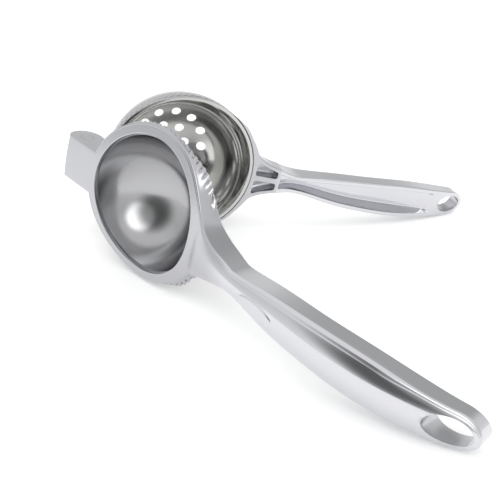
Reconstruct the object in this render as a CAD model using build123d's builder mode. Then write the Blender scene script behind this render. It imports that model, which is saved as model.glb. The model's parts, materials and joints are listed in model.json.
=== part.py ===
from build123d import *
from math import atan, cos, radians, sin, sqrt
import os

# A hand citrus squeezer that lies open on its side, resting on both rings and both handle ends.
# Each arm is drawn in its own directions, from the middle of the hinge axis: along the arm, up the
# hinge axis, and out of the arm's face. The press arm's face looks away from the cup, and the cup
# arm's face looks at the press. Sizes are in millimetres and degrees.

# Opening between the arms as the squeezer lies, and the ends of its travel
open_angle = 57.8
widest_angle = 106.0

# Rings, which meet on one plane when the arms close
press_rim_radius = 34.8
face_draft = 0.3
hinge_offset = 11.4
meet_height = -1.8
closed_gap = 0.4
press_face_height = 6.5
face_crown_radius = 104.0
cup_overhang = 1.2
collar_depth = 7.0
collar_taper = 0.35

# Pressing dome, a polished bowl held behind the lip of the press ring
lip_width = 4.9
lip_depth = 2.2
dome_wall = 2.0
dome_depth = 26.0
seat_clearance = 0.05
dome_overrun = 10.0

# Strainer cup, a thin bowl whose flange lies on the cup arm's collar
cup_wall = 0.8
cup_flange_width = 0.8
cup_straight = 5.0
cup_round_depth = 31.0
drain_radius = 2.3
drain_pitch = 8.5
drain_rings = 2
drains_in_first_ring = 6

# Slanted notches around the edges where the rings meet
notch_radius = 0.7
notch_depth = 0.55
notch_length = 7.0
notch_slant = 30.0
notch_step = 7.2
press_notch_start = 29.0
cup_notch_start = 66.0
notch_clear_of_hinge = 24.0

# Hinge: a fork on the press arm, a tongue on the cup arm and a pin through both
ear_radius = 8.0
block_half_height = 10.0
tongue_half_height = 5.0
tongue_side_gap = 0.25
knuckle_radius = 4.6
knuckle_gap = 0.4
slot_rise = 2.6
shank_depth = 6.5
pin_radius = 2.2
pin_head_radius = 2.8
pin_head_depth = 0.6
ear_pin_clearance = 0.02
tongue_pin_clearance = 0.06

# Flare of each ring into its neck: angles around the bowl from the handle, and how far the edge where
# the arms meet stands out of the press ring at each
flare_angles = (66.0, 57.0, 49.0, 41.0, 33.0)
flare_reaches = (-0.2, 0.5, 1.9, 2.7, 2.5)
flare_inset = 0.4

# Necks and handles, by stations beyond the press ring's edge: half width where the arms meet (foot) and
# at the outer face, line where the arms meet, depth of the wall, and crown of the outer face
shoulder_beyond = -0.7
shoulder_foot = 15.9
shoulder_half_width = 12.3
shoulder_depth = 8.6
shoulder_crown = 0.8
ramp_beyond = 3.0
ramp_foot = 11.2
ramp_half_width = 11.0
ramp_depth = 11.0
ramp_crown = 1.1
throat_beyond = 12.0
throat_half_width = 7.4
throat_meet = -0.9
throat_depth = 12.2
throat_crown = 1.5
neck_beyond = 24.0
neck_half_width = 4.9
neck_meet = 0.6
neck_depth = 11.9
neck_crown = 1.8
neck_step = 0.45
waist_beyond = 41.0
waist_half_width = 6.5
waist_meet = 3.5
waist_depth = 10.6
waist_crown = 2.4
arch_beyond = 64.0
arch_half_width = 8.4
arch_meet = 5.7
arch_depth = 9.6
arch_crown = 3.2
belly_beyond = 91.0
belly_half_width = 8.9
belly_meet = 4.6
belly_depth = 9.5
belly_crown = 3.4
hole_beyond = 118.4
end_half_width = 7.0
end_meet = -0.6
end_depth = 7.8
end_crown = 2.4
tip_beyond = 128.4
tip_half_width = 5.6
tip_meet = -3.6
tip_depth = 6.6
tip_crown = 1.9

# Trough in the inner side of each handle, and two grooves in the cup arm's neck
trough_wall = 1.9
trough_floor = 2.6
trough_beyond = 17.0
trough_start_depth = 4.0
trough_end_gap = 11.0
trough_end_depth = 3.0
groove_depth = 5.5
groove_rib = 1.3
groove_wall = 1.8
groove_inset = 2.0
groove_end_gap = 2.0

# Oval hanging hole through each handle's end, and the shallow oval flat on the press handle's face
hole_half_length = 7.8
hole_half_width = 4.9
oval_beyond = 40.0
oval_half_length = 9.5
oval_half_width = 3.2
oval_depth = 0.55

# How far the cutting shapes run past what they cut
past = 6.0


# Sizes that follow from those above
axis_to_bowl = press_rim_radius + hinge_offset
ring_end = axis_to_bowl + press_rim_radius
press_face_radius = press_rim_radius - face_draft
mouth_radius = press_rim_radius - lip_width
cup_rim_radius = press_rim_radius + cup_overhang
cup_outer = cup_rim_radius - cup_flange_width
cup_radius = cup_outer - cup_wall
shoulder_along = ring_end + shoulder_beyond
ramp_along = ring_end + ramp_beyond
throat_along = ring_end + throat_beyond
neck_along = ring_end + neck_beyond
waist_along = ring_end + waist_beyond
arch_along = ring_end + arch_beyond
belly_along = ring_end + belly_beyond
hole_along = ring_end + hole_beyond
tip_along = ring_end + tip_beyond
oval_along = ring_end + oval_beyond
trough_along = ring_end + trough_beyond
groove_end_along = trough_along - groove_end_gap

# Rest on the floor: the cup rim's lower edge and the handle ends' lower edges are level
half_open = open_angle / 2
rise_to_end = (cup_rim_radius - end_half_width) / (hole_along - axis_to_bowl)
tilt = atan(rise_to_end / cos(radians(half_open)))
hinge = Plane(origin=(0, 0, 0), x_dir=(cos(tilt), 0, -sin(tilt)), z_dir=(sin(tilt), 0, cos(tilt)))


class Arm:
    """The planes of one arm, turned about the hinge axis by an angle from the squeezer's middle line."""

    def __init__(self, turn):
        angle = radians(turn)
        self.along = hinge.from_local_coords(Vector(cos(angle), sin(angle), 0))
        self.out = hinge.from_local_coords(Vector(sin(angle), -cos(angle), 0))
        self.up = hinge.z_dir
        self.face = Plane(origin=hinge.origin, x_dir=self.along, z_dir=self.out)
        self.side = Plane(origin=hinge.origin, x_dir=self.along, z_dir=-self.up)
        self.bowl_axis = Axis(self.along * axis_to_bowl, self.out)

    def cross(self, distance):
        """Plane across the arm at a distance from the hinge axis: up, then out of the face."""
        return Plane(origin=self.along * distance, x_dir=self.up, z_dir=self.along)

    def bowl(self, height):
        """Plane across the bowl's axis at a height above the hinge axis."""
        return Plane(origin=self.along * axis_to_bowl + self.out * height, x_dir=self.along, z_dir=self.out)


press = Arm(-half_open)
cup = Arm(half_open)
press_meet = meet_height + closed_gap / 2
cup_meet = meet_height - closed_gap / 2
trough_end_along = hole_along - hole_half_length - trough_end_gap / 2


def bowl_round(radius, depth, top):
    """Quarter of a round bowl's outline, from its straight wall down to its middle."""
    pull = 4 / 3 * (sqrt(2) - 1)
    return Bezier((axis_to_bowl + radius, top), (axis_to_bowl + radius, top - pull * depth),
                  (axis_to_bowl + pull * radius, top - depth), (axis_to_bowl, top - depth))


def ring_outline(points):
    """Closed outline of a turned piece, as radius and height, drawn beside the bowl's axis."""
    return [(axis_to_bowl + radius, height) for radius, height in points]


def crown_to(arm, height):
    """Keep what lies under a face that is highest on the centre line, at the given height."""
    with BuildSketch(arm.cross(-ear_radius - past)) as crown:
        with Locations((0, height - face_crown_radius)):
            Circle(face_crown_radius)
    reach = ring_end + ear_radius + 2 * past
    extrude(crown.sketch, amount=reach, mode=Mode.INTERSECT)


def crown_drop(half_width):
    """How far the crowned face falls from the centre line to its edge."""
    return face_crown_radius - sqrt(face_crown_radius**2 - half_width**2)


def handle_section(arm, along, foot, half_width, inner, edge, crest):
    """Section of an arm: a straight inner side, two side walls and a rounded outer face."""
    with BuildSketch(arm.cross(along)) as section:
        with BuildLine():
            Polyline((half_width, edge), (foot, inner), (-foot, inner), (-half_width, edge))
            ThreePointArc((-half_width, edge), (0, crest), (half_width, edge))
        make_face()
    return section.sketch


def trough_section(arm, along, half_width, inner, floor):
    """Section of the trough in a handle's inner side."""
    with BuildSketch(arm.cross(along)) as section:
        with BuildLine():
            Polyline((half_width, inner), (half_width, floor), (-half_width, floor), (-half_width, inner),
                     close=True)
        make_face()
    return section.sketch


def neck(arm, meet, outward):
    """Neck of an arm, flaring from the handle into the ring. Outward is 1 or -1 out of the face."""
    stations = []
    for angle, reach in zip(flare_angles, flare_reaches):
        radius = press_rim_radius + reach
        across = radius * cos(radians(angle))
        half_width = sqrt(press_face_radius**2 - across**2) - flare_inset
        drop = crown_drop(half_width)
        depth = press_face_height - press_meet - drop - flare_inset
        stations.append((axis_to_bowl + across, radius * sin(radians(angle)), half_width, 0, depth, drop))
    throat_rise = throat_meet - meet_height
    neck_top = neck_half_width - neck_step
    stations += [
        (shoulder_along, shoulder_foot, shoulder_half_width, 0, shoulder_depth, shoulder_crown),
        (ramp_along, ramp_foot, ramp_half_width, 0, ramp_depth, ramp_crown),
        (throat_along, throat_half_width, throat_half_width, throat_rise, throat_depth, throat_crown),
        (neck_along, neck_top, neck_top, neck_meet - meet_height, neck_depth, neck_crown),
    ]
    sections = []
    for along, foot, half_width, rise, depth, crown in stations:
        inner = meet + rise
        edge = inner + outward * depth
        sections.append(handle_section(arm, along, foot, half_width, inner, edge, edge + outward * crown))
    ramp_section = len(flare_angles) + 1
    loft(sections[:ramp_section + 1], ruled=True)
    loft(sections[ramp_section:])


handle_stations = (
    (neck_along, neck_half_width, neck_meet, neck_depth, neck_crown),
    (waist_along, waist_half_width, waist_meet, waist_depth, waist_crown),
    (arch_along, arch_half_width, arch_meet, arch_depth, arch_crown),
    (belly_along, belly_half_width, belly_meet, belly_depth, belly_crown),
    (hole_along, end_half_width, end_meet, end_depth, end_crown),
    (tip_along, tip_half_width, tip_meet, tip_depth, tip_crown),
)


def handle(arm, meet, outward):
    """Arched handle from the neck to the tip, with a rounded end."""
    sections = []
    for along, half_width, line, depth, crown in handle_stations:
        inner = line + meet - meet_height
        edge = line + outward * depth
        crest = edge + outward * crown
        sections.append(handle_section(arm, along, half_width, half_width, inner, edge, crest))
    loft(sections)
    with BuildSketch(arm.face) as corners:
        with Locations((hole_along + tip_along / 2, 0)):
            Rectangle(tip_along, 2 * (end_half_width + past))
        with Locations((hole_along, 0)):
            Ellipse(tip_along - hole_along, end_half_width, mode=Mode.SUBTRACT)
    extrude(corners.sketch, amount=tip_along, both=True, mode=Mode.SUBTRACT)


def between(first, last, share):
    """Value at a share of the way from the first to the last."""
    return first + share * (last - first)


def trough(arm, meet, outward):
    """Trough in the inner side of the neck and handle, running out before the hanging hole."""
    start_share = (trough_along - throat_along) / (neck_along - throat_along)
    end_share = (trough_end_along - belly_along) / (hole_along - belly_along)
    stations = (
        (trough_along, between(throat_half_width, neck_half_width, start_share),
         between(throat_meet, neck_meet, start_share), trough_start_depth),
        (neck_along, neck_half_width - neck_step, neck_meet, neck_depth / 2),
        (waist_along, waist_half_width, waist_meet, waist_depth - trough_floor),
        (arch_along, arch_half_width, arch_meet, arch_depth - trough_floor + arch_crown / 2),
        (belly_along, belly_half_width, belly_meet, belly_depth - trough_floor + belly_crown / 2),
        (trough_end_along, between(belly_half_width, end_half_width, end_share),
         between(belly_meet, end_meet, end_share), trough_end_depth),
    )
    sections = []
    for along, half_width, line, depth in stations:
        inner = line + meet - meet_height - outward * past
        sections.append(trough_section(arm, along, half_width - trough_wall, inner, line + outward * depth))
    loft(sections, mode=Mode.SUBTRACT)


def hanging_hole(arm):
    """Oval hole through the handle's end."""
    with BuildSketch(arm.face) as oval:
        with Locations((hole_along, 0)):
            Ellipse(hole_half_length, hole_half_width)
    extrude(oval.sketch, amount=tip_along, both=True, mode=Mode.SUBTRACT)


def edge_reach(angle):
    """How far the edge where the arms meet stands out of the press ring, at an angle from the handle."""
    if angle <= flare_angles[-1]:
        return flare_reaches[-1]
    for station in range(len(flare_angles) - 1):
        high, low = flare_angles[station], flare_angles[station + 1]
        if low <= angle <= high:
            share = (high - angle) / (high - low)
            return flare_reaches[station] + share * (flare_reaches[station + 1] - flare_reaches[station])
    return 0


def notches(arm, height, outward, rim, begin):
    """Slanted notches around a ring's outer edge, clear of the neck and the hinge."""
    spread = 180 - begin - notch_clear_of_hinge
    for side in (1, -1):
        for number in range(int(spread / notch_step) + 1):
            angle = begin + number * notch_step
            turn = radians(side * angle)
            radial = arm.along * cos(turn) + arm.up * sin(turn)
            tangent = arm.up * cos(turn) - arm.along * sin(turn)
            edge = max(rim, press_rim_radius + edge_reach(angle))
            slope = (edge - rim) / collar_depth
            run = arm.out * outward + tangent * (side * sin(radians(notch_slant))) - radial * slope
            middle = arm.along * axis_to_bowl + arm.out * height
            start = middle + radial * (edge + notch_radius - notch_depth) - run * (notch_length / 2)
            with BuildSketch(Plane(origin=start, x_dir=tangent.cross(run), z_dir=run)) as notch:
                Circle(notch_radius)
            extrude(notch.sketch, amount=notch_length, mode=Mode.SUBTRACT)


# Round of the dome's bowl, which meets the mouth behind the lip, and the seat that holds it
bowl_radius = (mouth_radius**2 + dome_depth**2) / (2 * dome_depth)
dome_front = press_face_height - lip_depth
seat_radius = bowl_radius + dome_wall + seat_clearance

with BuildPart() as dome_seat:
    with BuildSketch(press.bowl(press_meet - past)):
        Circle(seat_radius)
    extrude(amount=dome_front - press_meet + 2 * past)
    crown_to(press, dome_front + seat_clearance)

# Press arm: ring with a crowned face, hinge fork, neck and handle
with BuildPart() as press_arm:
    with BuildSketch(press.side):
        face_top = press_face_height + past
        wall_slope = face_draft / (press_face_height - press_meet)
        top_radius = press_rim_radius - wall_slope * (face_top - press_meet)
        with BuildLine():
            Polyline(*ring_outline(((0, press_meet), (press_rim_radius, press_meet), (top_radius, face_top),
                                    (0, face_top))), close=True)
        make_face()
    revolve(axis=press.bowl_axis)
    with BuildSketch(press.side):
        Circle(ear_radius)
        with Locations((0, press_meet)):
            Rectangle(axis_to_bowl - mouth_radius, face_top - press_meet, align=(Align.MIN, Align.MIN))
    extrude(amount=block_half_height, both=True)
    crown_to(press, press_face_height)
    neck(press, press_meet, 1)
    notches(press, press_meet, 1, press_rim_radius, press_notch_start)
    handle(press, press_meet, 1)
    trough(press, press_meet, 1)
    hanging_hole(press)
    # Oval flat near the neck
    oval_share = (oval_along - neck_along) / (waist_along - neck_along)
    neck_crest = neck_meet + neck_depth + neck_crown
    waist_crest = waist_meet + waist_depth + waist_crown
    oval_height = neck_crest + oval_share * (waist_crest - neck_crest) - oval_depth
    with BuildSketch(press.face.offset(oval_height)):
        with Locations((oval_along, 0)):
            Ellipse(oval_half_length, oval_half_width)
    extrude(amount=past, mode=Mode.SUBTRACT)
    # Mouth through the ring, with the dome's seat behind the lip
    add(dome_seat.part, mode=Mode.SUBTRACT)
    with BuildSketch(press.bowl(press_meet)):
        Circle(mouth_radius)
    extrude(amount=face_top, mode=Mode.SUBTRACT)
    # Slot for the tongue, open to the rear and higher at the free end, where the tongue swings widest
    slot_reach = ear_radius + past
    with BuildSketch(press.side):
        Circle(knuckle_radius + knuckle_gap)
        with Locations((knuckle_radius + knuckle_gap, 0)):
            Rectangle(slot_reach + knuckle_radius + knuckle_gap, slot_reach, align=(Align.MAX, Align.MAX))
        with Locations((0, slot_rise)):
            Rectangle(slot_reach, slot_reach, align=(Align.MAX, Align.MAX))
        with Locations((0, press_meet)):
            Rectangle(slot_reach, slot_reach, align=(Align.MIN, Align.MAX))
    extrude(amount=tongue_half_height + tongue_side_gap, both=True, mode=Mode.SUBTRACT)
    # Bore for the pin, with countersinks
    with BuildSketch(press.side):
        Circle(pin_radius + ear_pin_clearance)
    extrude(amount=block_half_height, both=True, mode=Mode.SUBTRACT)
    for end in (1, -1):
        with BuildSketch(press.side.offset(end * (block_half_height - pin_head_depth))):
            Circle(pin_radius + ear_pin_clearance)
        with BuildSketch(press.side.offset(end * block_half_height)):
            Circle(pin_head_radius + ear_pin_clearance)
        loft(mode=Mode.SUBTRACT)

# Pressing dome: a polished round bowl, hollow at the front, trimmed to the crowned lip
with BuildPart() as press_dome:
    dome_middle = (axis_to_bowl, dome_front - dome_depth + bowl_radius)
    with BuildSketch(press.side):
        with BuildLine():
            inside = CenterArc(dome_middle, bowl_radius, 270, 90 + dome_overrun)
            outside = CenterArc(dome_middle, bowl_radius + dome_wall, 270, 90 + dome_overrun)
            Line(inside @ 0, outside @ 0)
            Line(inside @ 1, outside @ 1)
        make_face()
    revolve(axis=press.bowl_axis)
    crown_to(press, dome_front)

# Strainer cup: straight at the rim, round at the bottom, with a flange and drain holes
straight_foot = cup_meet - cup_straight
with BuildPart() as strainer_cup:
    with BuildSketch(cup.side):
        with BuildLine():
            Polyline(*ring_outline(((cup_radius, straight_foot), (cup_radius, cup_meet),
                                    (cup_rim_radius, cup_meet), (cup_rim_radius, cup_meet - cup_wall),
                                    (cup_outer, cup_meet - cup_wall), (cup_outer, straight_foot))))
            bowl_round(cup_outer, cup_round_depth + cup_wall, straight_foot)
            bowl_round(cup_radius, cup_round_depth, straight_foot)
            Line((axis_to_bowl, straight_foot - cup_round_depth),
                 (axis_to_bowl, straight_foot - cup_round_depth - cup_wall))
        make_face()
    revolve(axis=cup.bowl_axis)
    notches(cup, cup_meet, -1, cup_rim_radius, cup_notch_start)
    with BuildSketch(cup.bowl(straight_foot - cup_round_depth / 2)):
        Circle(drain_radius)
        for ring in range(1, drain_rings + 1):
            with PolarLocations(ring * drain_pitch, ring * drains_in_first_ring):
                Circle(drain_radius)
    extrude(amount=-cup_round_depth, mode=Mode.SUBTRACT)

# Space that the cup fills in its collar
seat_top = cup_meet - cup_wall - seat_clearance
with BuildPart() as cup_seat:
    with BuildSketch(cup.side):
        fit_radius = cup_outer + seat_clearance
        fit_depth = cup_round_depth + cup_wall + seat_clearance
        with BuildLine():
            Polyline(*ring_outline(((0, seat_top + past), (fit_radius, seat_top + past),
                                    (fit_radius, straight_foot))))
            bowl_round(fit_radius, fit_depth, straight_foot)
            Line((axis_to_bowl, straight_foot - fit_depth), (axis_to_bowl, seat_top + past))
        make_face()
    revolve(axis=cup.bowl_axis)
    with BuildSketch(cup.bowl(seat_top)):
        Circle(cup_rim_radius + seat_clearance)
    extrude(amount=past)

# Cup arm: collar, hinge tongue, neck and handle
with BuildPart() as cup_arm:
    with BuildSketch(cup.side):
        with BuildLine():
            Polyline(*ring_outline(((0, cup_meet), (cup_rim_radius, cup_meet),
                                    (cup_rim_radius - collar_taper, cup_meet - collar_depth),
                                    (0, cup_meet - collar_depth))), close=True)
        make_face()
    revolve(axis=cup.bowl_axis)
    with BuildSketch(cup.side):
        with Locations((0, cup_meet)):
            Rectangle(axis_to_bowl - cup_radius, shank_depth, align=(Align.MIN, Align.MAX))
        Circle(knuckle_radius)
    extrude(amount=tongue_half_height, both=True)
    neck(cup, cup_meet, -1)
    notches(cup, cup_meet, -1, cup_rim_radius, cup_notch_start)
    handle(cup, cup_meet, -1)
    trough(cup, cup_meet, -1)
    hanging_hole(cup)
    # Grooves on both sides of a rib in the neck
    groove_start = axis_to_bowl + cup_rim_radius + groove_inset
    groove_share = (groove_end_along - throat_along) / (neck_along - throat_along)
    groove_end_half_width = between(throat_half_width, neck_half_width, groove_share)
    with BuildSketch(cup.face.offset(cup_meet - groove_depth)) as groove:
        with BuildLine():
            Polyline((groove_start, groove_rib), (groove_start, ramp_half_width - groove_wall),
                     (throat_along, throat_half_width - groove_wall),
                     (groove_end_along, groove_end_half_width - groove_wall),
                     (groove_end_along, groove_rib), close=True)
        make_face()
        mirror(about=Plane.XZ)
    extrude(amount=groove_depth + past, mode=Mode.SUBTRACT)
    add(cup_seat.part, mode=Mode.SUBTRACT)
    with BuildSketch(cup.side):
        Circle(pin_radius + tongue_pin_clearance)
    extrude(amount=tongue_half_height, both=True, mode=Mode.SUBTRACT)

# Hinge pin with flared ends
with BuildPart() as hinge_pin:
    with BuildSketch(press.side):
        Circle(pin_radius)
    extrude(amount=block_half_height, both=True)
    for end in (1, -1):
        with BuildSketch(press.side.offset(end * (block_half_height - pin_head_depth))):
            Circle(pin_radius)
        with BuildSketch(press.side.offset(end * block_half_height)):
            Circle(pin_head_radius)
        loft()

# The origin is the middle of the footprint, on the floor
pieces = {"press_arm": press_arm, "press_dome": press_dome, "cup_arm": cup_arm,
          "strainer_cup": strainer_cup, "hinge_pin": hinge_pin}
footprint = Compound([piece.part for piece in pieces.values()]).bounding_box()
middle = footprint.center()
on_floor = Location((-middle.X, -middle.Y, -footprint.min.Z))

os.makedirs("parts", exist_ok=True)
for name, piece in pieces.items():
    piece.part.move(on_floor)
    piece.part.label = name
    export_step(piece.part, f"parts/{name}.step")

print("hinge axis through", on_floor.position, "along", hinge.z_dir, "tilted", tilt)
print("hinge range", open_angle - widest_angle, "to", open_angle)
print("size", footprint.size)
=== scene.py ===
"""Citrus squeezer lying open: two chromed castings on a hinge pin, a mirror pressing bowl and a strainer cup.

Each casting is modelled in its arm's own millimetres (along from the hinge, across, outward from the meeting face)
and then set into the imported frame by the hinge.
"""
import json
from bisect import bisect_right
from dataclasses import dataclass
from math import acos, atan2, cos, degrees, exp, hypot, log, pi, radians, sin, sqrt

import bmesh
import bpy
import numpy as np
from mathutils import Matrix, Vector


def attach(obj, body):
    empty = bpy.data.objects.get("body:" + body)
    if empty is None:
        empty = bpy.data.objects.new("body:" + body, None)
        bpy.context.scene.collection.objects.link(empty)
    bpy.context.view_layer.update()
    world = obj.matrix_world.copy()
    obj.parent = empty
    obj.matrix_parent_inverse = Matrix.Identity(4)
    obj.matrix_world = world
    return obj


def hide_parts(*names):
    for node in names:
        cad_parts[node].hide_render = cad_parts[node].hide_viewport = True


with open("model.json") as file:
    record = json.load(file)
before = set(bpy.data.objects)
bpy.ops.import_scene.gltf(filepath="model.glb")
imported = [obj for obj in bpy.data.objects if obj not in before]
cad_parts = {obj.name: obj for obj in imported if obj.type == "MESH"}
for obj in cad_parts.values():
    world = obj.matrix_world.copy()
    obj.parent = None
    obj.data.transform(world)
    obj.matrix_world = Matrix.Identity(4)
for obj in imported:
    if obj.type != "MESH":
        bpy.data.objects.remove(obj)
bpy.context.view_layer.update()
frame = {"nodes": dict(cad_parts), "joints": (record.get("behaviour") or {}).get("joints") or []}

hinge = frame["joints"][0]
hinge_place = Vector(hinge["pos_m"])
hinge_axis = Vector(hinge["axis"]).normalized()
half_open = radians(hinge["range_deg"][1]) / 2
across_arms = Vector((0, 1, 0))
middle_line = across_arms.cross(hinge_axis)
millimetre = 0.001

# Both arms: the bowl's middle from the hinge, the hanging hole, the handle's rounded end and the end of its hollow
bowl_along = 46.2
hole_along, hole_half_length, hole_half_width = 199.4, 7.8, 4.9
end_length = 10.0
hollow_end, hollow_fade = 187.5, 4.0

# Columns round a ring, two to a degree. Those up to the first angle make the neck's end, and those up to the second
# its side, which together spread over the third angle at the bowl's edge
columns = 720
end_zone, neck_zone, neck_angle = 16.0, 44.0, 33.0

# Crown of the press ring's face: fall for each millimetre across, squared
ring_crown = 0.0048
# Twisted border: degrees to a strand, its depth, swell, lean in degrees a millimetre, and height
rope_pitch, rope_depth, rope_swell, rope_slant, rope_band = 4.9, 0.95, 0.15, 1.7, 3.2
# Oval thumb pad on the press handle
pad_along, pad_half_length, pad_across, pad_half_width, pad_rise = 122.5, 9.6, -1.0, 2.7, 0.2
# Where the step for the strainer's flange rises to the collar's face, and where the buffed finish with its painted
# lighter sheen begins and is full
flange_edge = (36.05, 36.5)
buffed_sheen_from = (92, 106)


def arm_matrix(side):
    """From an arm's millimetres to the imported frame; the press arm is side -1 and the cup arm side 1."""
    turn = side * half_open
    along = middle_line * cos(turn) + across_arms * sin(turn)
    outward = (across_arms * cos(turn) - middle_line * sin(turn)) * side
    turned = Matrix((along, hinge_axis, outward)).transposed().to_4x4()
    return Matrix.Translation(hinge_place) @ Matrix.Scale(millimetre, 4) @ turned


def fair_curve(*stations):
    """Smooth curve through (place, value) stations, as a function of the place."""
    places = [float(place) for place, value in stations]
    values = [float(value) for place, value in stations]
    gaps = np.diff(places)
    slopes = np.diff(values) / gaps
    rows = np.eye(len(places))
    bends = np.zeros(len(places))
    for i in range(1, len(places) - 1):
        rows[i, i - 1:i + 2] = gaps[i - 1], 2 * (gaps[i - 1] + gaps[i]), gaps[i]
        bends[i] = 6 * (slopes[i] - slopes[i - 1])
    bends = np.linalg.solve(rows, bends).tolist()
    gaps = gaps.tolist()

    def value_at(place):
        place = min(max(place, places[0]), places[-1])
        i = min(max(bisect_right(places, place) - 1, 0), len(gaps) - 1)
        near, far = (places[i + 1] - place) / gaps[i], (place - places[i]) / gaps[i]
        bend = (near ** 3 - near) * bends[i] + (far ** 3 - far) * bends[i + 1]
        return near * values[i] + far * values[i + 1] + bend * gaps[i] ** 2 / 6

    return value_at


def smooth_step(start, end, place):
    """0 before the start, 1 after the end, easing in and out between them."""
    share = min(max((place - start) / (end - start), 0.0), 1.0)
    return share * share * (3 - 2 * share)


def outline_path(neck_points, ring_points):
    """Plan outline of half a casting, by column angle, from the neck's end to the far side of the ring."""
    points = [Vector(point) for point in neck_points + ring_points]
    run = [0.0]
    for a, b in zip(points, points[1:]):
        run.append(run[-1] + (b - a).length)
    along = fair_curve(*((r, p.x) for r, p in zip(run, points)))
    across = fair_curve(*((r, p.y) for r, p in zip(run, points)))
    neck_run, whole = run[len(neck_points)], run[-1]
    step = 0.05

    def point_at(turn):
        if turn <= neck_zone:
            place = neck_run * (turn - end_zone) / (neck_zone - end_zone)
        else:
            place = neck_run + (whole - neck_run) * (turn - neck_zone) / (180 - neck_zone)
        before, after = max(place - step, 0), min(place + step, whole)
        heading = Vector((along(after) - along(before), across(after) - across(before))).normalized()
        return Vector((along(place), max(across(place), 0.0))), Vector((-heading.y, heading.x))

    return point_at


def on_circle(radius, angle):
    """Point of a circle round the bowl's middle."""
    return (bowl_along + radius * cos(radians(angle)), radius * sin(radians(angle)))


# Half width of both handles, and depth of the hollow in their meeting sides
handle_width = fair_curve((93, 7.4), (99, 5.95), (105, 4.7), (109, 4.75), (122, 6.5), (145, 8.4), (172, 8.9),
                          (199.4, 7.0), (209.4, 6.7))
trough_line = fair_curve((98, 4.0), (105, 5.9), (122, 8.0), (145, 8.4), (165, 8.0), (178, 5.2), (187, 2.4))


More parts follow.
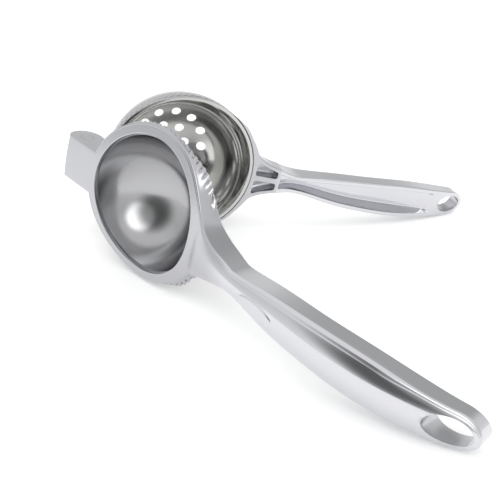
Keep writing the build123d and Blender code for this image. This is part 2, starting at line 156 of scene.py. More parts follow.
@dataclass
class Casting:
    """One arm's casting: its outlines, its faces and the handle's stations."""

    end: float  # place where the neck ends and the handle begins
    front: object  # plan outline of the outer face, by column angle
    rear: object  # plan outline of the meeting face
    crest: object  # height of the outer face along its middle
    crown: object  # logarithm of how fast that face falls across the arm
    meet: object  # height of the meeting face
    trough_start: float  # place where the handle's hollow begins
    trough_run: float  # length in which the hollow deepens
    inner: tuple  # wall of the opening, as radius and height function
    rear_radius: float  # inner edge of the meeting face
    face_radius: float  # inner edge of the outer face
    rear_steps: int  # rows of faces on the meeting face
    slim: float  # size of the edges on the ring, against the handle
    flange_step: float  # depth of the step for the strainer's flange
    rope_range: tuple  # angles between which the ring has its twisted border
    thumb_pad: bool  # whether the handle has the oval pad

    # Edge of the outer face, as inset from the outline and drop below the face: a fine groove, then a rounded bead
    bead = ((1.25, 0.0), (1.1, 0.07), (0.97, 0.1), (0.86, 0.04), (0.72, 0.0), (0.45, 0.05), (0.22, 0.2),
            (0.07, 0.42), (0.0, 0.7))
    # Edge of the meeting face, as inset and height above that face
    rear_edge = ((0.0, 0.5), (0.06, 0.27), (0.2, 0.1), (0.5, 0.0))
    face_steps = 22
    wall_steps = 14
    # Shares of the columns across the handle's hollow: its flat rim lies past the first, its floor within the second
    rim_share, floor_share = 0.84, 0.58

    def __post_init__(self):
        self.first_bead = self.face_steps
        self.first_wall = self.first_bead + len(self.bead)
        self.first_rear_edge = self.first_wall + self.wall_steps
        self.first_rear = self.first_rear_edge + len(self.rear_edge)
        self.first_inner = self.first_rear + self.rear_steps
        self.entries = self.first_inner + len(self.inner)

    def outer(self, along, across):
        """Height of the outer face."""
        return self.crest(along) - exp(self.crown(along)) * across * across

    def meeting(self, along, across):
        """Height of the meeting face, with the step that the strainer's flange lies in."""
        step = self.flange_step * (1 - smooth_step(*flange_edge, hypot(along - bowl_along, across)))
        return self.meet(along) + step

    def ring_angle(self, turn):
        """Angle round the bowl of a column."""
        if turn <= neck_zone:
            return neck_angle * turn / neck_zone
        return neck_angle + (180 - neck_angle) * (turn - neck_zone) / (180 - neck_zone)

    def rope(self, angle, height, room):
        """Inset of the twisted border along the ring's rear edge."""
        if not self.rope_range[0] <= angle <= self.rope_range[1]:
            return 0.0
        band = min(rope_band, 0.8 * room)
        strand = (angle - self.rope_range[0] + height * rope_slant) / rope_pitch
        lobe = abs(sin(pi * strand)) ** 0.5
        return (rope_depth * (1 - lobe) - rope_swell * lobe) * (1 - smooth_step(0.55 * band, band, height))

    def place(self, turn, entry):
        """Where a vertex of the ring and the neck belongs, from its column and its entry in the section."""
        side, turn = (1 if turn >= 0 else -1), abs(turn)
        angle = self.ring_angle(turn)
        slim = 1 - (1 - self.slim) * smooth_step(neck_zone - 14, neck_zone + 6, turn)
        if entry >= self.first_inner:
            radius, height = self.inner[entry - self.first_inner]
            along, across = on_circle(radius, angle)
            return Vector((along, side * across, height(self, along, across)))
        if entry <= self.first_bead:
            edge = self.edge_point(self.front, turn, self.bead[0][0] * slim, self.first_bead)
            share = entry / self.face_steps
            along, across = Vector(on_circle(self.face_radius, angle)).lerp(edge, share)
            return Vector((along, side * across, self.outer(along, across)))
        if entry >= self.first_rear:
            edge = self.edge_point(self.rear, turn, self.rear_edge[-1][0] * slim, self.first_rear - 1)
            share = (entry - self.first_rear + 1) / (self.rear_steps + 1)
            along, across = edge.lerp(Vector(on_circle(self.rear_radius, angle)), share)
            return Vector((along, side * across, self.meeting(along, across)))
        if turn < end_zone:
            return Vector(self.section(self.end, side * turn, entry))
        front, front_in = self.front(turn)
        rear, rear_in = self.rear(turn)
        top = self.outer(*front) - self.bead[-1][1] * slim
        foot = self.meeting(*rear)
        if entry < self.first_wall:
            inset, drop = self.bead[entry - self.first_bead]
            along, across = front + front_in * inset * slim
            return Vector((along, side * across, self.outer(along, across) - drop * slim))
        if entry < self.first_rear_edge:
            share = self.wall_share(entry)
            low = foot + self.rear_edge[0][1] * slim
            height = top + (low - top) * share
            inset = self.rope(angle, height - foot, top - foot)
            along, across = front.lerp(rear, share) + rear_in * inset
            return Vector((along, side * across, height))
        inset, rise = self.rear_edge[entry - self.first_rear_edge]
        inset = inset * slim + self.rope(angle, rise * slim, top - foot)
        along, across = rear + rear_in * inset
        return Vector((along, side * across, foot + rise * slim))

    def wall_share(self, entry):
        """How far down the side wall an entry lies, closer together towards the rear edge."""
        return sin(pi / 2 * (entry - self.first_wall + 1) / (self.wall_steps + 1))

    def edge_point(self, outline, turn, inset, entry):
        """Point of an edge's inner line, on the outline's inset or across the neck's end."""
        if turn < end_zone:
            along, across, height = self.section(self.end, turn, entry)
            return Vector((along, across))
        point, inward = outline(turn)
        return point + inward * inset

    def section(self, along, turn, entry):
        """Where a vertex of the handle's section belongs at a place along the arm."""
        side, share = (1 if turn >= 0 else -1), abs(turn) / end_zone
        half = handle_width(along)
        if along > hole_along:
            half *= sqrt(max(1 - ((along - hole_along) / end_length) ** 2, 0.0))
        # The bead is thicker along the middle of the handle, and thins with the tip
        growth = 0.6 * smooth_step(107, 126, along) * (1 - smooth_step(174, 189, along))
        snug = min(1 + growth, half / 3.0)
        across_columns = share < 1 - 1e-6
        if across_columns and entry <= self.first_bead:
            across = share * (half - self.bead[0][0] * snug)
            return along, side * across, self.outer(along, across) + self.thumb_rise(along, side * across)
        meet = self.meet(along)
        if across_columns:
            across, depth = self.trough(along, share, half - self.rear_edge[-1][0] * snug)
            return along, side * across, meet + depth
        if entry < self.first_wall:
            inset, drop = self.bead[entry - self.first_bead]
            across = half - inset * snug
            return along, side * across, self.outer(along, across) - drop * snug
        if entry < self.first_rear_edge:
            top = self.outer(along, half) - self.bead[-1][1] * snug
            foot = meet + self.rear_edge[0][1] * snug
            return along, side * half, top + (foot - top) * self.wall_share(entry)
        inset, rise = self.rear_edge[entry - self.first_rear_edge]
        return along, side * (half - inset * snug), meet + rise * snug

    def trough(self, along, share, edge):
        """Place across and depth of a column in the hollow of the handle's meeting side."""
        start = self.trough_start
        depth = trough_line(along) * smooth_step(start, start + self.trough_run, along)
        depth *= 1 - smooth_step(hollow_end - hollow_fade, hollow_end, along)
        rim, wall = min(1.4, 0.3 * edge), min(1.5, 0.3 * edge)
        if share > self.rim_share:
            return edge - rim * (1 - share) / (1 - self.rim_share), 0.0
        if share > self.floor_share:
            part = (self.rim_share - share) / (self.rim_share - self.floor_share)
            return edge - rim - wall * part, depth * smooth_step(0.0, 1.0, part)
        return (edge - rim - wall) * share / self.floor_share, depth

    def thumb_rise(self, along, across):
        """Height of the flat oval pad near the neck over the crowned face."""
        if not self.thumb_pad:
            return 0.0
        side = across - pad_across
        reach = hypot((along - pad_along) / pad_half_length, side / pad_half_width)
        rise = pad_rise + exp(self.crown(along)) * side * side
        return rise * (1 - smooth_step(0.9, 1.03, reach))

    def handle_places(self):
        """Stations along the handle, close together at its start, the pad, the hollow's end and the tip."""
        places = [self.end + 0.1 + 0.35 * i for i in range(12)]
        while places[-1] < hole_along - 0.5:
            at_pad = self.thumb_pad and abs(places[-1] - pad_along) < pad_half_length + 1
            at_hollow_end = hollow_end - 4.5 < places[-1] < hollow_end + 1.5
            places.append(places[-1] + (0.25 if at_pad else 0.4 if at_hollow_end else 1.3))
        places += [hole_along + end_length * sin(radians(angle)) for angle in range(3, 87, 3)]
        return places


def empty_shape():
    """New mesh with the layer that the castings' finish and painted sheen read."""
    shape = bmesh.new()
    shape.verts.layers.float.new("polish_sheen")
    return shape


def spin_round(shape, corners, steps, closed=True, middle=(bowl_along, 0, 0), axis=(0, 0, 1)):
    """Corners joined in turn and spun once round an axis."""
    after = corners[1:] + corners[:1] if closed else corners[1:]
    edges = [shape.edges.new(pair) for pair in zip(corners, after)]
    bmesh.ops.spin(shape, geom=corners + edges, cent=middle, axis=axis, angle=2 * pi, steps=steps, use_merge=True)


def draw_out(shape, faces, way):
    """Faces drawn out into a closed block."""
    raised = bmesh.ops.extrude_face_region(shape, geom=faces)["geom"]
    bmesh.ops.translate(shape, vec=way, verts=[part for part in raised if isinstance(part, bmesh.types.BMVert)])


def creases(shape, angle):
    """Edges at which two faces meet at more than an angle."""
    return [edge for edge in shape.edges if len(edge.link_faces) == 2 and edge.calc_face_angle() >= radians(angle)]


def round_edges(shape, edges, radius, segments):
    bmesh.ops.bevel(shape, geom=edges, affect="EDGES", offset=radius, segments=segments, profile=0.5, material=-1,
                    clamp_overlap=True)


def merge_doubles(shape):
    bmesh.ops.remove_doubles(shape, verts=shape.verts, dist=1e-4)


def face_outwards(shape):
    bmesh.ops.recalc_face_normals(shape, faces=shape.faces)


def casting_mesh(casting):
    """Ring by spinning its section, drawn out to the neck, and the handle extruded from the neck's end."""
    shape = empty_shape()
    entry_layer = shape.verts.layers.int.new("entry")
    turn_layer = shape.verts.layers.float.new("turn")
    polish_sheen_layer = shape.verts.layers.float["polish_sheen"]
    section = []
    for entry in range(casting.entries):
        spot = casting.place(90.0, entry)
        corner = shape.verts.new((bowl_along + hypot(spot.x - bowl_along, spot.y), 0.0, spot.z))
        corner[entry_layer] = entry
        section.append(corner)
    spin_round(shape, section, columns)
    for corner in shape.verts:
        turn = degrees(atan2(corner.co.y, corner.co.x - bowl_along))
        turn = round(turn * columns / 360) * 360 / columns
        corner[turn_layer] = turn
        corner.co = casting.place(turn, corner[entry_layer])
        corner[polish_sheen_layer] = smooth_step(*buffed_sheen_from, corner.co.x)
    low, high = casting.first_bead, casting.first_rear - 1
    neck_end = [face for face in shape.faces
                if all(abs(corner[turn_layer]) <= end_zone + 0.01 and low <= corner[entry_layer] <= high
                       for corner in face.verts)]
    bmesh.ops.delete(shape, geom=neck_end, context="FACES")
    rim = [edge for edge in shape.edges if edge.is_boundary]
    for along in casting.handle_places():
        grown = bmesh.ops.extrude_edge_only(shape, edges=rim)["geom"]
        for corner in grown:
            if isinstance(corner, bmesh.types.BMVert):
                corner.co = casting.section(along, corner[turn_layer], corner[entry_layer])
                corner[polish_sheen_layer] = 1.0
        rim = [edge for edge in grown if isinstance(edge, bmesh.types.BMEdge) and edge.is_boundary]
    bmesh.ops.edgeloop_fill(shape, edges=rim)
    face_outwards(shape)
    return shape


def profile_block(points, half_width, rounding=0.0, steps=1):
    """Closed block: a side profile drawn across the arm, its edges rounded, its sides cut into steps."""
    shape = empty_shape()
    corners = [shape.verts.new((along, -half_width, outward)) for along, outward in points]
    draw_out(shape, [shape.faces.new(corners)], (0, 2 * half_width, 0))
    for step in range(1, steps):
        bmesh.ops.bisect_plane(shape, geom=shape.verts[:] + shape.edges[:] + shape.faces[:], plane_no=(0, 1, 0),
                               plane_co=(0, half_width * (2 * step / steps - 1), 0))
    face_outwards(shape)
    if rounding:
        round_edges(shape, creases(shape, 30), rounding, 5)
    return shape


def arc_points(radius, start, end, steps):
    """Points of an arc round the pin, in a side profile."""
    angles = [radians(start + (end - start) * i / steps) for i in range(steps + 1)]
    return [(radius * cos(angle), radius * sin(angle)) for angle in angles]


def pin_bore(outline):
    """Cutter for the pin's bore, from a (radius, across) outline."""
    shape = empty_shape()
    corners = [shape.verts.new((radius, across, 0)) for radius, across in outline]
    spin_round(shape, corners, 48, closed=False, middle=(0, 0, 0), axis=(0, 1, 0))
    merge_doubles(shape)
    face_outwards(shape)
    return shape


def as_object(shape, name, matrix=None):
    """Mesh object of a shape, its place put into the mesh."""
    if matrix is not None:
        bmesh.ops.transform(shape, matrix=matrix, verts=shape.verts)
        face_outwards(shape)
    mesh = bpy.data.meshes.new(name)
    shape.to_mesh(mesh)
    shape.free()
    piece = bpy.data.objects.new(name, mesh)
    bpy.context.scene.collection.objects.link(piece)
    return piece


def cut(shape, cutters):
    """Shape with the cutters taken out of it."""
    body = as_object(shape, "blank")
    for cutter in cutters:
        step = body.modifiers.new("cut", "BOOLEAN")
        step.operation, step.solver = "DIFFERENCE", "EXACT"
        step.object = as_object(cutter, "tool")
    graph = bpy.context.evaluated_depsgraph_get()
    result = bmesh.new()
    result.from_mesh(body.evaluated_get(graph).to_mesh())
    for step in list(body.modifiers):
        bpy.data.objects.remove(step.object)
    bpy.data.objects.remove(body)
    merge_doubles(result)
    bmesh.ops.dissolve_degenerate(result, edges=result.edges, dist=1e-4)
    return result


def add_to(shape, other):
    """One mesh of two closed shapes."""
    mesh = bpy.data.meshes.new("joined")
    other.to_mesh(mesh)
    other.free()
    shape.from_mesh(mesh)
    bpy.data.meshes.remove(mesh)


def hanging_hole():
    """Cutter for the oval through hole in the handle."""
    shape = empty_shape()
    reach = 30
    ring = bmesh.ops.create_circle(shape, cap_ends=True, radius=1.0, segments=72)["verts"]
    bmesh.ops.scale(shape, vec=(hole_half_length, hole_half_width, 1), verts=ring)
    bmesh.ops.translate(shape, vec=(hole_along, 0, -reach), verts=ring)
    draw_out(shape, list(shape.faces), (0, 0, 2 * reach))
    face_outwards(shape)
    return shape


def on_hole(corner):
    """Whether a vertex lies on the hanging hole's wall."""
    oval = hypot((corner.co.x - hole_along) / hole_half_length, corner.co.y / hole_half_width)
    return abs(oval - 1) < 0.02


def finished_casting(casting):
    """Casting with its hanging hole and the hole's rounded rims."""
    shape = cut(casting_mesh(casting), [hanging_hole()])
    rims = [edge for edge in creases(shape, 45) if all(on_hole(corner) for corner in edge.verts)]
    round_edges(shape, rims, 0.5, 3)
    return shape


# Press arm: line of its meeting face, middle line of its outer face, and that face's crown
press_line = fair_curve((60, -1.8), (72, -1.8), (80.3, -1.8), (84, -1.7), (93, -0.6), (99, 0.5), (105, 1.7),
                        (112, 2.4), (122, 3.5), (145, 5.7), (172, 4.6), (199.4, -0.6), (209.4, -3.6))
press_crest = fair_curve((40, 6.5), (60, 6.5), (70, 6.5), (76, 6.65), (80.3, 7.9), (84, 9.9), (88, 11.6),
                         (93, 12.9), (105, 14.3), (122, 16.5), (145, 18.5), (172, 17.5), (199.4, 9.6), (209.4, 4.9))
handle_crown = ((84, log(0.0091)), (93, log(0.0274)), (105, log(0.08)), (122, log(0.0568)), (145, log(0.0454)),
                (172, log(0.0429)), (199.4, log(0.049)), (209.4, log(0.06)))
press_crown = fair_curve((40, log(ring_crown)), (60, log(ring_crown)), (72, log(ring_crown)), (80.3, log(0.0055)),
                         *handle_crown)
# The lip's seat, and the rim of the bowl just under it
seat_height, rim_height = 4.35, 4.3


def press_seat(casting, along, across):
    """Height of the seat that the bowl lies against."""
    return seat_height - ring_crown * across * across


def below_face(drop):
    """Height at a drop below a casting's outer face."""
    return lambda casting, along, across: casting.outer(along, across) - drop


def level_at(height):
    """The same height all round."""
    return lambda casting, along, across: height


press_casting = Casting(
    end=105.0,
    front=outline_path(((105, 4.7), (99, 6.0), (93, 7.4), (88, 9.1), (84, 11.0), (82, 12.35), (79, 15.0)),
                       (on_circle(34.85, 33), *(on_circle(34.5, angle) for angle in range(40, 181, 7)))),
    rear=outline_path(((105, 4.7), (99, 6.0), (93, 7.45), (88, 9.4), (84, 12.0), (81.2, 15.4)),
                      (on_circle(37.3, 33), on_circle(37.5, 41), on_circle(36.7, 49), on_circle(35.5, 57),
                       *(on_circle(34.8, angle) for angle in range(66, 181, 6)))),
    crest=press_crest, crown=press_crown, meet=lambda along: press_line(along) + 0.2,
    trough_start=107.0, trough_run=7.0,
    inner=((32.3, level_at(-1.6)), (32.3, press_seat), (29.9, press_seat), (29.9, below_face(0.5)),
           (29.97, below_face(0.2)), (30.15, below_face(0.04))),
    rear_radius=32.3, face_radius=30.4, rear_steps=8, slim=1.0, flange_step=0.0, rope_range=(29.0, 156.0),
    thumb_pad=True)

# Cup arm: the same lines
cup_line = fair_curve((60, -1.8), (72, -1.8), (80.3, -1.8), (84, -1.75), (93, -0.9), (105, 0.6), (122, 3.5),
                      (145, 5.7), (172, 4.6), (199.4, -0.6), (209.4, -3.6))
cup_crest = fair_curve((40, 9.0), (60, 9.0), (70, 9.0), (76, 9.05), (80.3, 9.6), (84, 10.7), (88, 11.7), (93, 12.4),
                       (99, 12.9), (105, 12.9), (122, 9.5), (145, 7.1), (172, 8.3), (199.4, 10.8), (209.4, 12.1))
cup_crown = fair_curve((40, log(0.0002)), (60, log(0.0002)), (72, log(0.0002)), (80.3, log(0.002)), *handle_crown)
cup_casting = Casting(
    end=97.0,
    front=outline_path(((97, 6.42), (93, 7.4), (88, 9.1), (84, 11.2), (82.2, 13.2), (80, 16.6)),
                       (on_circle(36.65, 33), *(on_circle(35.65, angle) for angle in range(40, 181, 7)))),
    rear=outline_path(((97, 6.42), (93, 7.45), (88, 9.4), (84, 12.2), (82, 15.3)),
                      (on_circle(38.0, 33), on_circle(37.8, 41), on_circle(37.0, 49), on_circle(36.3, 57),
                       *(on_circle(36.0, angle) for angle in range(66, 181, 6)))),
    crest=cup_crest, crown=cup_crown, meet=lambda along: 0.2 - cup_line(along),
    trough_start=97.4, trough_run=1.6,
    inner=((35.25, level_at(2.85)), (35.25, below_face(0.3)), (35.3, below_face(0.1))),
    rear_radius=35.35, face_radius=35.38, rear_steps=24, slim=0.12, flange_step=0.85, rope_range=(66.0, 156.0),
    thumb_pad=False)

# Hinge fork of the press arm: a block round the pin with a slot for the tongue, its front crowned as the ring's face
block_half, bore_radius, flare_radius = 10.0, 2.26, 2.86
fork_profile = ([(15.8, 6.4), (12.9, 6.53), (-4.66, 6.5)] + arc_points(8.0, 127.0, 348.46, 60)
                + [(13.5, -1.6), (13.5, 4.7), (15.8, 4.7)])
slot_profile = ([(4.74, -1.6)] + arc_points(5.0, -18.7, 148.7, 40)
                + [(-9.5, 2.6), (-9.5, -9.5), (9.5, -9.5), (9.5, -1.6)])
fork_blank = profile_block(fork_profile, block_half, 1.2, 16)
for corner in fork_blank.verts:
    corner.co.z -= ring_crown * corner.co.y ** 2 * smooth_step(4.5, 6.2, corner.co.z)
flared_bore = [(0, -11), (flare_radius, -11), (flare_radius, -9.9), (bore_radius, -9.3), (bore_radius, 9.3),
               (flare_radius, 9.9), (flare_radius, 11), (0, 11)]
fork = cut(fork_blank, [profile_block(slot_profile, 5.25), pin_bore(flared_bore)])
press_shape = finished_casting(press_casting)
add_to(press_shape, fork)
press_arm = as_object(press_shape, "press_arm_casting", arm_matrix(-1))


def groove(side):
    """Cutter for one of the two grooves beside the rib in the cup's neck."""
    shape = empty_shape()
    floor_height, drop = 7.3, 12
    plan = ((84.4, 1.3), (84.4, 9.0), (88, 7.2), (93, 5.6), (95.8, 4.9), (95.8, 1.3))
    corners = [shape.verts.new((along, side * across, floor_height)) for along, across in plan]
    draw_out(shape, [shape.faces.new(corners)], (0, 0, -drop))
    face_outwards(shape)
    round_edges(shape, [edge for edge in shape.edges if max(v.co.z for v in edge.verts) > 0], 1.1, 5)
    return shape


# Hinge tongue of the cup arm, and the grooves with their rounded rims
tongue_profile = [(11.4, 2.0), (11.4, 8.5), (0, 8.5)] + arc_points(4.6, 90.0, 385.8, 44)
tongue = cut(profile_block(tongue_profile, 5.0, 0.4),
             [pin_bore([(0, -6), (bore_radius, -6), (bore_radius, 6), (0, 6)])])
cup_shape = cut(finished_casting(cup_casting), [groove(1), groove(-1)])
groove_rims = [edge for edge in creases(cup_shape, 50)
               if all(83.5 < v.co.x < 96.5 and abs(v.co.y) < 10 and v.co.z < 4 for v in edge.verts)]
round_edges(cup_shape, groove_rims, 0.3, 2)
add_to(cup_shape, tongue)
cup_arm = as_object(cup_shape, "cup_arm_casting", arm_matrix(1))

# Pressing bowl: part of a sphere, trimmed to the crowned lip
bowl_radius, bowl_wall, bowl_middle = 30.19, 2.0, 8.49


def rim_reach(radius, angle):
    """Angle up the bowl at which it meets the crowned seat."""
    reach = radians(80)
    for step in range(12):
        height = rim_height - ring_crown * (radius * sin(reach) * sin(angle)) ** 2
        reach = acos((bowl_middle - height) / radius)
    return reach


def bowl_shape():
    """Both skins of the bowl spun at an even rim, then each column drawn to where it meets the seat."""
    shape = empty_shape()
    share_layer = shape.verts.layers.float.new("share")
    radius_layer = shape.verts.layers.float.new("skin")
    steps = 48
    corners = []
    for radius, order in ((bowl_radius, range(steps + 1)), (bowl_radius + bowl_wall, range(steps, -1, -1))):
        for i in order:
            reach = radians(82) * i / steps
            corner = shape.verts.new((bowl_along + radius * sin(reach), 0, bowl_middle - radius * cos(reach)))
            corner[share_layer], corner[radius_layer] = i / steps, radius
            corners.append(corner)
    spin_round(shape, corners, 180, closed=False)
    merge_doubles(shape)
    for corner in shape.verts:
        angle = atan2(corner.co.y, corner.co.x - bowl_along)
        radius = corner[radius_layer]
        reach = rim_reach(radius, angle) * corner[share_layer]
        corner.co = (bowl_along + radius * sin(reach) * cos(angle), radius * sin(reach) * sin(angle),
                     bowl_middle - radius * cos(reach))
    return shape


press_dome = as_object(bowl_shape(), "pressing_bowl", arm_matrix(-1))


def cup_shell():
    """Strainer cup without its holes: a thin deep bowl with a flange."""
    inside, outside, flange, wall = 34.4, 35.2, 36.0, 0.8
    top, foot, depth = 2.0, 7.0, 31.0
    outline = [(flange - 0.1, top + 0.05), (flange, top + 0.2), (flange, top + 0.6), (flange - 0.1, top + wall),
               (outside + 0.05, top + wall), (outside, top + wall + 0.1), (outside, foot - 1.5)]
    outline += [(outside * cos(radians(a)), foot + (depth + wall) * sin(radians(a))) for a in range(0, 91, 2)]
    outline += [(inside * cos(radians(a)), foot + depth * sin(radians(a))) for a in range(90, -1, -2)]
    outline += [(inside, foot - 1.5), (inside, top + 0.25), (inside + 0.06, top + 0.08), (inside + 0.2, top)]
    shape = empty_shape()
    spin_round(shape, [shape.verts.new((bowl_along + radius, 0, height)) for radius, height in outline], 220)
    merge_doubles(shape)
    face_outwards(shape)
    return shape


def drain_cutter():
    """Drain holes in the cup's bottom: one in the middle and two rings."""
    shape = empty_shape()
    hole_radius, ring_gap = 2.3, 8.5
    for ring, count in ((0, 1), (1, 6), (2, 12)):
        for i in range(count):
            angle, reach = 2 * pi * i / count, ring_gap * ring
            spot = Matrix.Translation((bowl_along + reach * cos(angle), reach * sin(angle), 32))
            bmesh.ops.create_cone(shape, cap_ends=True, segments=32, radius1=hole_radius, radius2=hole_radius,
                                  depth=22, matrix=spot)
    return shape


strainer = as_object(cut(cup_shell(), [drain_cutter()]), "strainer_bowl", arm_matrix(1))

# Smooth faces, apart from the many-sided flat ones, with the real edges kept sharp
for piece in (press_arm, cup_arm, press_dome, strainer):
    for face in piece.data.polygons:
        face.use_smooth = len(face.vertices) < 9
    piece.data.set_sharp_from_angle(angle=radians(38))


def linear(code):
    """Linear colour of an sRGB hex value."""
    parts = [int(code[i:i + 2], 16) / 255 for i in (1, 3, 5)]
    return [part / 12.92 if part <= 0.04045 else ((part + 0.055) / 1.055) ** 2.4 for part in parts] + [1.0]


def add_node(tree, kind, settings=None, **links):
    """One node with its settings, its socket values and its links."""
    node = tree.nodes.new(kind)
    for name, value in (settings or {}).items():
        setattr(node, name, value)
    for name, value in links.items():
        socket = node.inputs[int(name[1:])] if name[0] == "_" else node.inputs[name.replace("_", " ")]
        if isinstance(value, bpy.types.NodeSocket):
            tree.links.new(value, socket)
        else:
            socket.default_value = value
    return node


def metal(name, colour, roughness_range, grain, bump, buffed_sheen=None):
    """Plated or polished metal whose roughness wanders a little; where it is buffed it is smoother, and lighter in
    colour as a painted sheen.

    The grain is in millimetres. The real one is finer, and is drawn as coarse as it needs to show.
    """
    material = bpy.data.materials.new(name)
    material.use_nodes = True
    tree = material.node_tree
    shader = tree.nodes["Principled BSDF"]
    shader.inputs["Base Color"].default_value = linear(colour)
    shader.inputs["Metallic"].default_value = 1.0
    spot = add_node(tree, "ShaderNodeTexCoord").outputs["Object"]
    cloud = add_node(tree, "ShaderNodeTexNoise", Vector=spot, Scale=1 / (12 * millimetre), Detail=3.0)
    fine = add_node(tree, "ShaderNodeTexNoise", Vector=spot, Scale=1 / (grain * millimetre), Detail=2.0)
    low, high = roughness_range
    rough = add_node(tree, "ShaderNodeMapRange", _0=cloud.outputs["Fac"], _1=0.35, _2=0.65, _3=low, _4=high)
    value = rough.outputs[0]
    if buffed_sheen:
        share = add_node(tree, "ShaderNodeAttribute", {"attribute_name": "polish_sheen"}).outputs["Fac"]
        scale = add_node(tree, "ShaderNodeMapRange", _0=share, _1=0.0, _2=1.0, _3=1.0, _4=buffed_sheen[1])
        value = add_node(tree, "ShaderNodeMath", {"operation": "MULTIPLY"}, _0=value,
                         _1=scale.outputs[0]).outputs[0]
        # Painted sheen: the buffed part's colour is lighter than the satin part's, standing in for the brighter
        # reflections it shows
        sheen_tint = add_node(tree, "ShaderNodeMix", {"data_type": "RGBA"}, _0=share, _6=linear(colour),
                        _7=linear(buffed_sheen[0]))
        tree.links.new(sheen_tint.outputs[2], shader.inputs["Base Color"])
    tree.links.new(value, shader.inputs["Roughness"])
    bumps = add_node(tree, "ShaderNodeBump", Strength=bump, Distance=0.02 * millimetre, Height=fine.outputs["Fac"])
    tree.links.new(bumps.outputs[0], shader.inputs["Normal"])
    return material


# Chrome plate on a zinc die casting: satin where it was tumbled, smooth where the handle was buffed; the buffed
# handle's lighter colour against the darker satin ring is a painted sheen
cast_chrome = metal("chrome_on_zinc_casting", "#bebec2", (0.2, 0.26), 0.5, 0.12, ("#d3d3d7", 0.45))
# Chromed bowl, polished: a slightly soft mirror that shows the room upside down
mirror_chrome = metal("mirror_polished_bowl", "#b0b0b2", (0.13, 0.19), 0.6, 0.04)
# Pressed stainless steel, polished: crisp reflections, a little warmer than the chrome
cup_steel = metal("polished_stainless_cup", "#c8c8c6", (0.1, 0.16), 0.6, 0.06)
# Turned steel: duller than the plated parts round it
pin_steel = metal("turned_steel_pin", "#bfc0c2", (0.25, 0.35), 0.3, 0.15)

for piece, body, node, slot, material in (
        (press_arm, "press_side", "press_arm", "cast_arms", cast_chrome),
        (cup_arm, "cup_side", "cup_arm", "cast_arms", cast_chrome),
        (press_dome, "press_side", "press_dome", "polished_dome", mirror_chrome),
        (strainer, "cup_side", "strainer_cup", "polished_cup", cup_steel)):
    piece.data.materials.clear()
    piece.data.materials.append(material)
    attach(piece, body)
    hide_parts(node)
pin = frame["nodes"]["hinge_pin"]
pin.data.materials.clear()
pin.data.materials.append(pin_steel)

# Matt white paper for a floor
ground = bmesh.new()
bmesh.ops.create_grid(ground, x_segments=2, y_segments=2, size=30.0)
floor = as_object(ground, "floor")
paper = bpy.data.materials.new("white_paper_floor")
paper.use_nodes = True
paper_shader = paper.node_tree.nodes["Principled BSDF"]
paper_shader.inputs["Base Color"].default_value = linear("#f7f7f7")
paper_shader.inputs["Roughness"].default_value = 0.9
paper_shader.inputs["Specular IOR Level"].default_value = 0.0
# Seen by the camera or in the chrome, the paper is a little lighter than the lamps make it, and keeps its shadows
paper_lift = 0.22
seen = add_node(paper.node_tree, "ShaderNodeLightPath")
lift = add_node(paper.node_tree, "ShaderNodeMath", {"operation": "MAXIMUM"}, _0=seen.outputs["Is Camera Ray"],
                _1=seen.outputs["Is Glossy Ray"])
glow = add_node(paper.node_tree, "ShaderNodeMath", {"operation": "MULTIPLY"}, _0=lift.outputs[0], _1=paper_lift)
paper_shader.inputs["Emission Color"].default_value = linear("#ffffff")
paper.node_tree.links.new(glow.outputs[0], paper_shader.inputs["Emission Strength"])
floor.data.materials.append(paper)

# Studio: a pale room, by height
world = bpy.data.worlds.new("studio")
bpy.context.scene.world = world
world.use_nodes = True
room = world.node_tree
heading = add_node(room, "ShaderNodeTexCoord").outputs["Generated"]
height = add_node(room, "ShaderNodeSeparateXYZ", _0=heading).outputs["Z"]
walls = add_node(room, "ShaderNodeValToRGB", _0=height)
walls.color_ramp.interpolation = "EASE"
stops = walls.color_ramp.elements
stops[0].position, stops[0].color = 0.0, linear("#ffffff")
stops[1].position, stops[1].color = 0.85, linear("#ffffff")
for place, tone in ((0.2, "#f0f1f0"), (0.45, "#e6e8e6"), (0.62, "#f4f5f4")):
    stops.new(place).color = linear(tone)
light = walls.outputs["Color"]
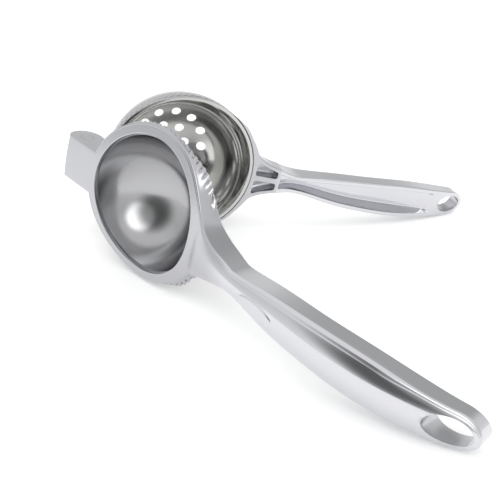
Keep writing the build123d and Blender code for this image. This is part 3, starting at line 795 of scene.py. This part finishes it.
# Sides of the room that differ, from the cosine at their edge to that of their full part, and their share of its light
room_sides = (((-0.25, -0.85, 0.45), 0.76, 0.97, 0.18),  # dim behind the camera, for the chrome's dark bands
              ((0.33, 0.72, 0.61), 0.86, 0.97, 0.62),  # grey at the back
              ((0.13, -0.78, 0.61), 0.88, 0.97, 3.4))  # soft lamp over the camera, for the bright patch in the bowl
for way, edge, full, share in room_sides:
    toward = add_node(room, "ShaderNodeVectorMath", {"operation": "DOT_PRODUCT"}, _0=heading,
                      _1=Vector(way).normalized()).outputs["Value"]
    level = add_node(room, "ShaderNodeMapRange", {"interpolation_type": "SMOOTHSTEP"}, _0=toward, _1=edge, _2=full,
                     _3=1.0, _4=share).outputs[0]
    light = add_node(room, "ShaderNodeVectorMath", {"operation": "SCALE"}, _0=light, Scale=level).outputs["Vector"]
room.links.new(light, room.nodes["Background"].inputs["Color"])
room.nodes["Background"].inputs["Strength"].default_value = 1.0


def soft_box(name, place, size, power):
    """Large square lamp for light and soft shadows; the chrome shows the room and not the lamp."""
    lamp = bpy.data.lights.new(name, "AREA")
    lamp.shape, lamp.size, lamp.size_y, lamp.energy = "RECTANGLE", size, size, power
    box = bpy.data.objects.new(name, lamp)
    box.location = place
    box.rotation_euler = (-Vector(place)).to_track_quat("-Z", "Y").to_euler()
    box.visible_glossy = False
    bpy.context.scene.collection.objects.link(box)


soft_box("key_box", (-0.4, -0.3, 1.1), 1.0, 2.3)
soft_box("fill_box", (0.7, 0.4, 1.0), 1.0, 2.0)

# Camera at the photograph's angle, fitted in the hinge's own frame: its turn, its height, its roll and its place
lens = bpy.data.cameras.new("camera")
lens.lens, lens.sensor_width, lens.sensor_fit = 52.818, 36.0, "AUTO"
lens.clip_start = 0.01
camera = bpy.data.objects.new("camera", lens)
swing, rise, roll = 0.0925, 0.4811, 0.2901
seat_right, seat_down, seat_away = 75.743, 42.114, 335.217
away = Vector((sin(swing) * cos(rise), -cos(swing) * cos(rise), sin(rise)))
sideways = Vector((cos(swing), sin(swing), 0))
upright = away.cross(sideways)
right = sideways * cos(roll) + upright * sin(roll)
up = upright * cos(roll) - sideways * sin(roll)
seat = right * seat_right - up * seat_down + away * seat_away
in_hinge = Matrix((middle_line, across_arms, hinge_axis)).transposed()
facing = Matrix((in_hinge @ right, in_hinge @ up, in_hinge @ away)).transposed().to_4x4()
camera.matrix_world = Matrix.Translation(hinge_place + in_hinge @ seat * millimetre) @ facing
bpy.context.scene.collection.objects.link(camera)
bpy.context.scene.camera = camera
bpy.context.scene.view_settings.view_transform = "Standard"
